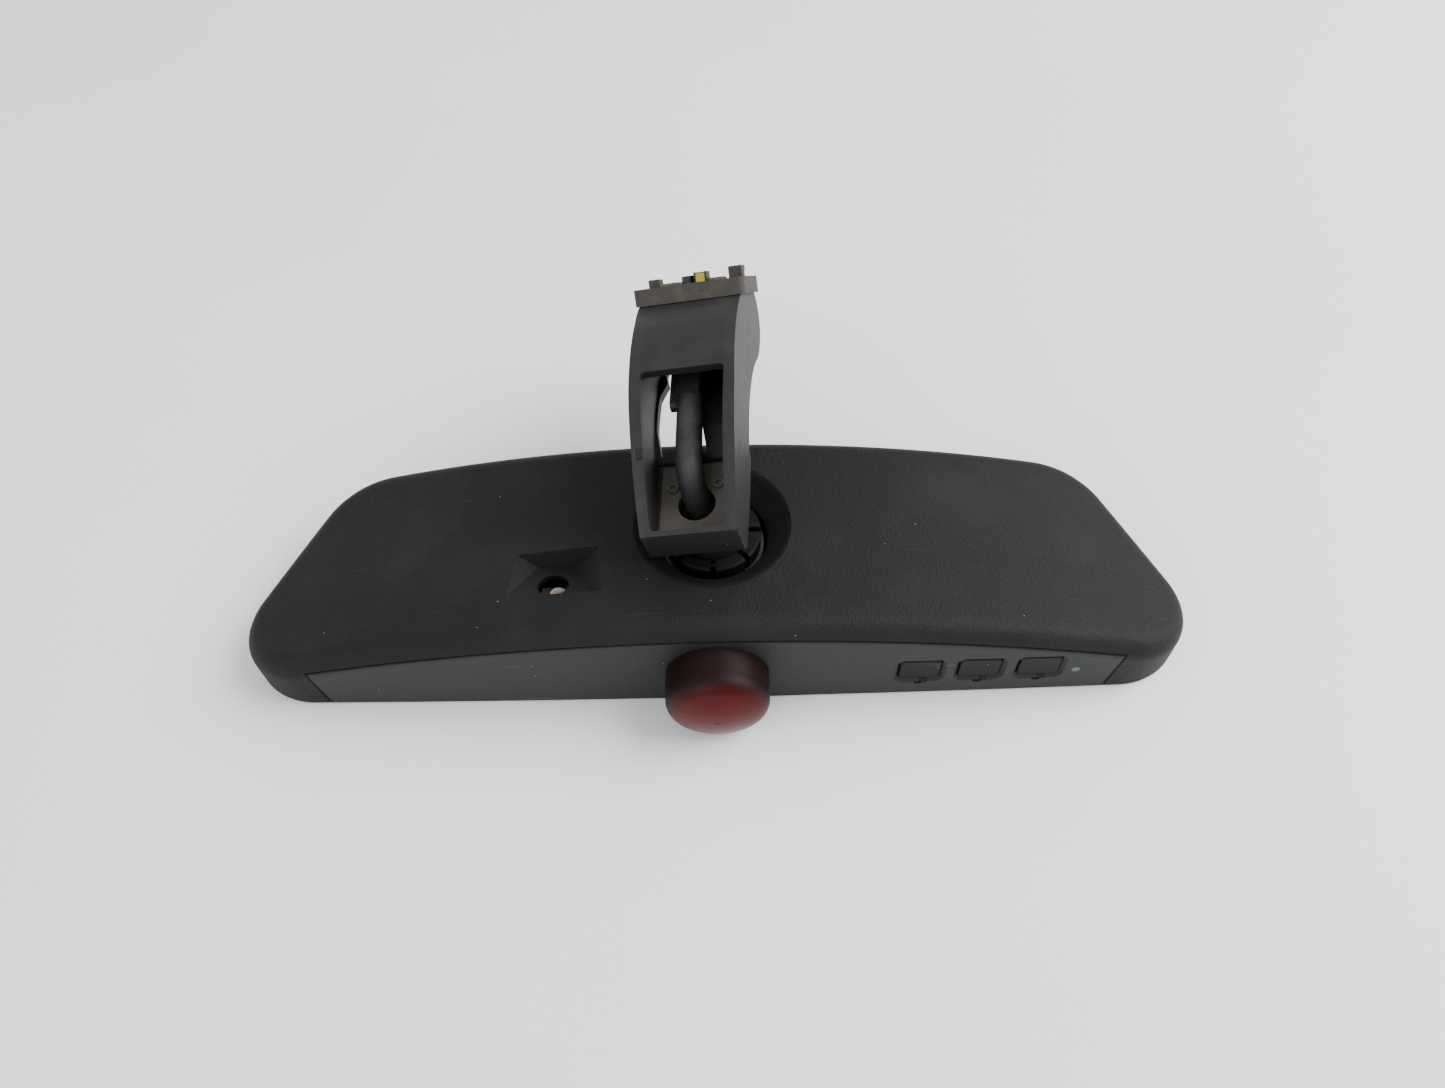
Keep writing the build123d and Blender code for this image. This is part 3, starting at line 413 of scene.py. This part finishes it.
lockValues = {
    "dark": (0.42, 0.30, 0.015),
    "light": (0.62, 0.47, 0.03),
    "grain": 0.3,
    "rough": (0.4, 0.5),
    "dust": 0.25,
    "dustColour": (0.2, 0.15, 0.08),
}
sheathValues = {
    "dark": (0.011, 0.0115, 0.012),
    "light": (0.024, 0.0245, 0.025),
    "blotch": 9.0,
    "grain": 0.3,
    "grainDepth": 0.2,
    "rough": (0.5, 0.68),
    "dust": 0.22,
    "specks": 1.0,
    "speckSize": 1.9,
}
sealValues = {"dark": (0.008, 0.008, 0.008), "light": (0.014, 0.014, 0.014), "rough": (0.6, 0.7)}

# Marks on the stalk, its slots and grooves, painted near black as painted shade and dented, in millimetres
# on its own axes: middle, half sizes.
stalkMarks = [
    ((12.6, 7.6, 29.8), (3.4, 2.9, 0.9)),
    ((12.6, 51.6, 24.4), (3.4, 2.4, 0.8)),
    ((-10.6, 4.8, 35.3), (1.6, 2.0, 0.7)),
    ((12.6, 40.0, 24.3), (3.4, 7.2, 0.28)),
    ((12.6, 30.6, 26.2), (3.4, 0.3, 2.4)),
    ((12.6, 37.5, 27.4), (3.4, 1.0, 0.35)),
]


# The stalk's inside: its hollow, which gets painted shade, then the floor at the bottom of that, which
# gets a browner tone made lighter as painted light. Middle, half sizes and softness.
stalkInside = {
    "hollow": ((0, 14.0, 40.0), (10.9, 30.0, 18.0), 0.3),
    "floor": ((0, 0, 18.0), (9.3, 12.0, 1.6), 0.6),
}


def stalkDetail(flow, place, base, rough, height):
    # slots in the side walls and the hollow darkened as painted shade, and a browner floor made much
    # lighter as painted light, placed on the stalk's own axes
    local = flow.node("ShaderNodeMapping", {"vector_type": "TEXTURE"},
                      {"Vector": place, "Location": ballCentre, "Rotation": stalkTurn.to_euler()})
    axes = millimetres(flow, local)
    # dark gathers the mask of painted shade in the slots and grooves
    dark = 0.0
    for middle, half in stalkMarks:
        dark = boxMask(flow, axes, middle, half, 0.15) + dark
    floor = boxMask(flow, axes, *stalkInside["floor"])
    hollow = boxMask(flow, axes, *stalkInside["hollow"])
    # painted shade darkening the hollow
    base = blend(flow, hollow * 0.35, base, colour(stalkFinish["hollowShadePainted"]))
    # a browner floor tone, made much lighter as painted light
    base = blend(flow, floor * 0.8, base, colour(stalkFinish["floorBrownAndPaintedLight"]))
    # the slots and grooves darkened as painted shade
    base = blend(flow, dark.clamped(), base, colour(stalkFinish["slotShadePainted"]))
    return base, rough + floor * 0.1, height - dark * 6


# The small marks under the buttons, in millimetres.
markValues = {
    "across": (54.7, 70.5, 85.9),
    "up": 6.7,
    "half": (0.9, 0.6),
    "soft": 0.3,
    "dark": (0.002, 0.002, 0.002),
}


def buttonDetail(flow, place, base, rough, height):
    v = markValues
    x, y, z = millimetres(flow, place)
    mark = 0.0
    for middle in v["across"]:
        mark = boxMask(flow, (x, z), (middle, v["up"]), v["half"], v["soft"]) + mark
    return blend(flow, mark.clamped(), base, colour(v["dark"])), rough, height - mark * 3


# The bottom panel's outline in millimetres: the top edge's height and fall, the ends' place and slant,
# where painted shade runs along the seam.
outlineValues = {
    "top": 29.07,
    "fall": 0.001191,
    "end": 106.0,
    "corner": 15.69,
    "slant": 0.17,
    "line": 0.3,
    "soft": 0.25,
    # dark is the painted shade colour along the seam
    "dark": (0.0015, 0.0015, 0.0015),
}


def panelDetail(flow, place, base, rough, height):
    # painted shade along the seam at the panel's top edge and ends, and the marks under the buttons
    base, rough, height = buttonDetail(flow, place, base, rough, height)
    v = outlineValues
    x, y, z = millimetres(flow, place)
    below = v["top"] - x * x * v["fall"] - z
    inward = v["end"] - (v["corner"] - z) * v["slant"] - abs(x)
    nearest = flow.maths("MINIMUM", below, inward)
    # painted shade in the gap along the seam
    seam = 1 - step(flow, nearest, v["line"], v["line"] + v["soft"])
    return blend(flow, seam, base, colour(v["dark"])), rough + seam * 0.2, height


stainColour = (0.10, 0.065, 0.04)


def metal(name, base, rough, wear=0.0, grain=0.8):
    # plated metal with stains and small dents
    material, flow, shader = newMaterial(name)
    place = objectPlace(flow)
    stain = noise(flow, place, 260.0, Detail=5.0, Roughness=0.65)
    fine = noise(flow, place, 1 / (grain * mm), Detail=3.0)
    share = step(flow, stain, 0.45, 0.7) * wear
    shade = blend(flow, share, colour(base), colour(stainColour))
    bump = flow.node("ShaderNodeBump", {}, {"Height": fine, "Strength": 0.3, "Distance": 0.05 * mm})
    uneven = fine * 0.2 + share * 0.4 + rough - 0.1
    plug(flow, shader, {"Base Color": shade, "Metallic": 1 - share, "Roughness": uneven.clamped(),
                        "Normal": bump})
    return material


boardValues = {"lacquer": (0.006, 0.055, 0.022), "track": (0.012, 0.10, 0.038)}


def board(name, v):
    # a green circuit board with copper tracks under the lacquer
    material, flow, shader = newMaterial(name)
    place = objectPlace(flow)
    lines = flow.node("ShaderNodeTexWave", {"wave_type": "BANDS", "bands_direction": "DIAGONAL"},
                      {"Vector": place, "Scale": 160.0, "Distortion": 9.0, "Detail": 1.0,
                       "Detail Scale": 0.4})
    track = step(flow, lines, 0.6, 0.68)
    speck = noise(flow, place, 900.0, Detail=2.0)
    shade = blend(flow, track, colour(v["lacquer"]), colour(v["track"]))
    bump = flow.node("ShaderNodeBump", {}, {"Height": track, "Strength": 0.4, "Distance": 0.05 * mm})
    plug(flow, shader, {"Base Color": shade, "Roughness": speck * 0.15 + 0.28, "Normal": bump})
    return material


lensValues = {
    "deep": (0.085, 0.0010, 0.0024),
    "smoke": (0.012, 0.0030, 0.0038),
    "from": -49.2,  # mm along Y, where the front's clear red starts
    "to": -44.0,
    "rough": (0.12, 0.46),
    "transmission": 0.15,
    "ior": 1.36,
    "specular": 0.16,
}


def redLens(v):
    # clear deep red at the domed end, smokier and more frosted along the side
    material, flow, shader = newMaterial("lens_red")
    place = objectPlace(flow)
    along = millimetres(flow, place)[1]
    side = step(flow, along, v["from"], v["to"])
    haze = noise(flow, place, 190.0, Detail=4.0)
    fine = noise(flow, place, 1400.0, Detail=2.0)
    shade = blend(flow, side, colour(v["deep"]), colour(v["smoke"]))
    low, high = v["rough"]
    rough = side * (high - low) + low + haze * 0.08
    height = fine * side + haze * 0.1
    bump = flow.node("ShaderNodeBump", {}, {"Height": height, "Strength": 0.1, "Distance": 0.1 * mm})
    plug(flow, shader, {"Base Color": shade, "Roughness": rough, "Normal": bump, "IOR": v["ior"],
                        "Transmission Weight": v["transmission"], "Specular IOR Level": v["specular"]})
    return material


def clear(name, base, rough, transmission, smear=0.03):
    # glass or clear plastic with faint smears
    material, flow, shader = newMaterial(name)
    haze = noise(flow, objectPlace(flow), 70.0, Detail=6.0, Roughness=0.7)
    dusted = tuple(min(1.0, part * 1.15 + 0.01) for part in base)
    shade = blend(flow, haze, colour(base), colour(dusted))
    plug(flow, shader, {"Base Color": shade, "Roughness": step(flow, haze, 0.4, 0.8) * smear + rough,
                        "Transmission Weight": transmission, "IOR": 1.5})
    return material


silverValues = {"bright": (0.72, 0.76, 0.80), "dull": (0.66, 0.70, 0.74)}


def silvered(v):
    # the mirror coating: near perfect metal, a faint blue cast and light haze
    material, flow, shader = newMaterial("silvered_glass")
    haze = noise(flow, objectPlace(flow), 40.0, Detail=5.0)
    shade = blend(flow, haze * 0.3, colour(v["bright"]), colour(v["dull"]))
    plug(flow, shader, {"Base Color": shade, "Metallic": 1.0, "Roughness": haze * 0.03 + 0.015})
    return material


cellValues = {"dark": (0.34, 0.25, 0.19), "light": (0.55, 0.45, 0.36), "dots": (0.13, 0.05, 0.04)}


def photocell(v):
    # a pale ceramic disc with a fine dotted film
    material, flow, shader = newMaterial("sensor_cell")
    place = objectPlace(flow)
    fine = noise(flow, place, 1800.0, Detail=3.0)
    weave = flow.node("ShaderNodeTexVoronoi", {}, {"Vector": place, "Scale": 2400.0, "Randomness": 0.15})
    shade = blend(flow, fine, colour(v["dark"]), colour(v["light"]))
    shade = blend(flow, 1 - step(flow, weave, 0.28, 0.42), shade, colour(v["dots"]))
    plug(flow, shader, {"Base Color": shade, "Roughness": fine * 0.2 + 0.35})
    return material


finishes = {
    "housing_plastic": moulded("housing_plastic", housingValues),
    "bezel_plastic": moulded("bezel_plastic", bezelValues),
    "panel_plastic": moulded("panel_plastic", panelValues, panelDetail),
    "button_plastic": moulded("button_plastic", buttonValues, buttonDetail),
    "stalk_plastic": moulded("stalk_plastic", stalkFinish, stalkDetail),
    "collar_plastic": moulded("collar_plastic", collarValues),
    "cup_plastic": moulded("cup_plastic", cupPaintedShadeValues),
    "ball_plastic": moulded("ball_plastic", cupPaintedShadeValues),
    "carrier_plastic": moulded("carrier_plastic", innerValues),
    "liner_plastic": moulded("liner_plastic", linerValues),
    "header_white": moulded("header_white", whiteValues),
    "chip_black": moulded("chip_black", chipValues),
    "peg_black": moulded("peg_black", pegValues),
    "lock_yellow": moulded("lock_yellow", lockValues),
    "cable_sheath": moulded("cable_sheath", sheathValues),
    "seal_black": moulded("seal_black", sealValues),
    "contact_metal": metal("contact_metal", (0.62, 0.56, 0.42), 0.3),
    "screw_steel": metal("screw_steel", (0.42, 0.42, 0.43), 0.38, wear=0.2),
    "clip_steel": metal("clip_steel", (0.10, 0.10, 0.105), 0.42),
    "foot_steel": metal("foot_steel", (0.16, 0.14, 0.12), 0.55, wear=0.9),
    "capacitor_metal": metal("capacitor_metal", (0.68, 0.68, 0.70), 0.3),
    "circuit_board": board("circuit_board", boardValues),
    "lens_red": redLens(lensValues),
    "mirror_glass": clear("mirror_glass", (0.93, 0.96, 0.96), 0.02, 0.95),
    "silvered_glass": silvered(silverValues),
    "led_clear": clear("led_clear", (0.85, 0.86, 0.9), 0.15, 0.5),
    "pipe_clear": clear("pipe_clear", (0.03, 0.04, 0.06), 0.3, 0.1),
    "sensor_cell": photocell(cellValues),
}
# each node's slot name, from the record
slotOf = {part["node"]: part["material_slot"] for part in frame["record"]["subparts"]}
for name, node in nodes.items():
    finish = finishes[slotOf[name]]
    for slot in node.material_slots:
        slot.material = finish
cable.data.materials.append(finishes["cable_sheath"])
print("finishes made")


# The photocell's zigzag track, in millimetres.
trackValues = {
    "rows": 5,
    "width": 2.6,
    "pitch": 0.52,
    "line": 0.16,
    "lift": 0.03,
    "thick": 0.05,
    "light": (0.30, 0.12, 0.10),
    "dark": (0.2, 0.07, 0.06),
}


def ribbonMesh(name, path, across, thick):
    # path is a row of points and across the half width vector at each, lifted into a thin closed strip
    up = np.array([0, 0, thick])
    rings = np.stack([path - across, path + across, path + across + up, path - across + up], axis=1)
    count = len(path)
    start = np.arange(count - 1)[:, None] * 4
    corner = np.arange(4)[None, :]
    a = (start + corner).ravel()
    b = (start + (corner + 1) % 4).ravel()
    faces = np.stack([a, b, b + 4, a + 4], axis=1).tolist()
    faces += [[3, 2, 1, 0], [4 * count - 4, 4 * count - 3, 4 * count - 2, 4 * count - 1]]
    mesh = bpy.data.meshes.new(name)
    mesh.from_pydata(rings.reshape(-1, 3).tolist(), [], faces)
    mesh.validate()
    return mesh


def makeTrack(v):
    low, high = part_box("ambient_sensor")
    centre = np.array([(low.x + high.x) / 2, (low.y + high.y) / 2]) / mm
    top = high.z / mm + v["lift"]
    row = np.arange(v["rows"] * 2)
    side = np.where((row + 1) // 2 % 2 == 0, -1.0, 1.0)
    x = centre[0] + side * v["width"] / 2
    y = centre[1] + (row // 2 - (v["rows"] - 1) / 2) * v["pitch"]
    path = np.stack([x, y, np.full_like(x, top)], axis=1) * mm
    along = np.gradient(path, axis=0)
    along /= np.linalg.norm(along, axis=1, keepdims=True)
    across = np.stack([-along[:, 1], along[:, 0], 0 * along[:, 0]], axis=1) * v["line"] / 2 * mm
    track = bpy.data.objects.new("cell_track", ribbonMesh("cell_track", path, across, v["thick"] * mm))
    scene.collection.objects.link(track)
    material, flow, shader = newMaterial("cell_track")
    fine = noise(flow, objectPlace(flow), 2500.0, Detail=2.0)
    shade = blend(flow, fine, colour(v["light"]), colour(v["dark"]))
    plug(flow, shader, {"Base Color": shade, "Roughness": 0.5})
    track.data.materials.append(material)
    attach(track, "head")


makeTrack(trackValues)
print("photocell track made")


studioValues = {
    "floorColour": (0.89, 0.902, 0.88),
    "floorReach": 3.0,
    "floorDrop": 0.05,  # mm, below the part
    "world": 1.0,
    "sky": (0.93, 0.96, 1.0),
    "key": {"place": (1.05, 0.15, 1.0), "size": 1.2, "power": 36.0, "colour": (1.0, 1.0, 0.985)},  # m, W
    "fill": {"place": (-0.75, -0.9, 0.85), "size": 1.4, "power": 8.0, "colour": (0.97, 0.985, 1.0)},
}


def makeFloor(v):
    data = bpy.data.meshes.new("floor")
    reach = v["floorReach"]
    corners = [(-reach, -reach, 0), (reach, -reach, 0), (reach, reach, 0), (-reach, reach, 0)]
    data.from_pydata(corners, [], [[0, 1, 2, 3]])
    floor = bpy.data.objects.new("floor", data)
    floor.location.z = -v["floorDrop"] * mm
    scene.collection.objects.link(floor)
    material, flow, shader = newMaterial("floor")
    cloud = noise(flow, objectPlace(flow), 7.0, Detail=5.0)
    tint = v["floorColour"]
    worn = tuple(part * 0.97 for part in tint)
    shade = blend(flow, step(flow, cloud, 0.3, 0.7), colour(worn), colour(tint))
    plug(flow, shader, {"Base Color": shade, "Roughness": 0.62})
    data.materials.append(material)


def makeLight(name, v):
    data = bpy.data.lights.new(name, "AREA")
    data.shape = "DISK"
    data.size = v["size"]
    data.energy = v["power"]
    data.color = v["colour"]
    lamp = bpy.data.objects.new(name, data)
    lamp.location = v["place"]
    lamp.rotation_euler = (-Vector(v["place"])).to_track_quat("-Z", "Y").to_euler()
    scene.collection.objects.link(lamp)


def makeWorld(v):
    world = bpy.data.worlds.new("studio")
    world.use_nodes = True
    background = world.node_tree.nodes["Background"]
    background.inputs["Color"].default_value = colour(v["sky"])
    background.inputs["Strength"].default_value = v["world"]
    scene.world = world


makeFloor(studioValues)
makeLight("key", studioValues["key"])
makeLight("fill", studioValues["fill"])
makeWorld(studioValues)
print("studio lit")

bpy.context.view_layer.update()
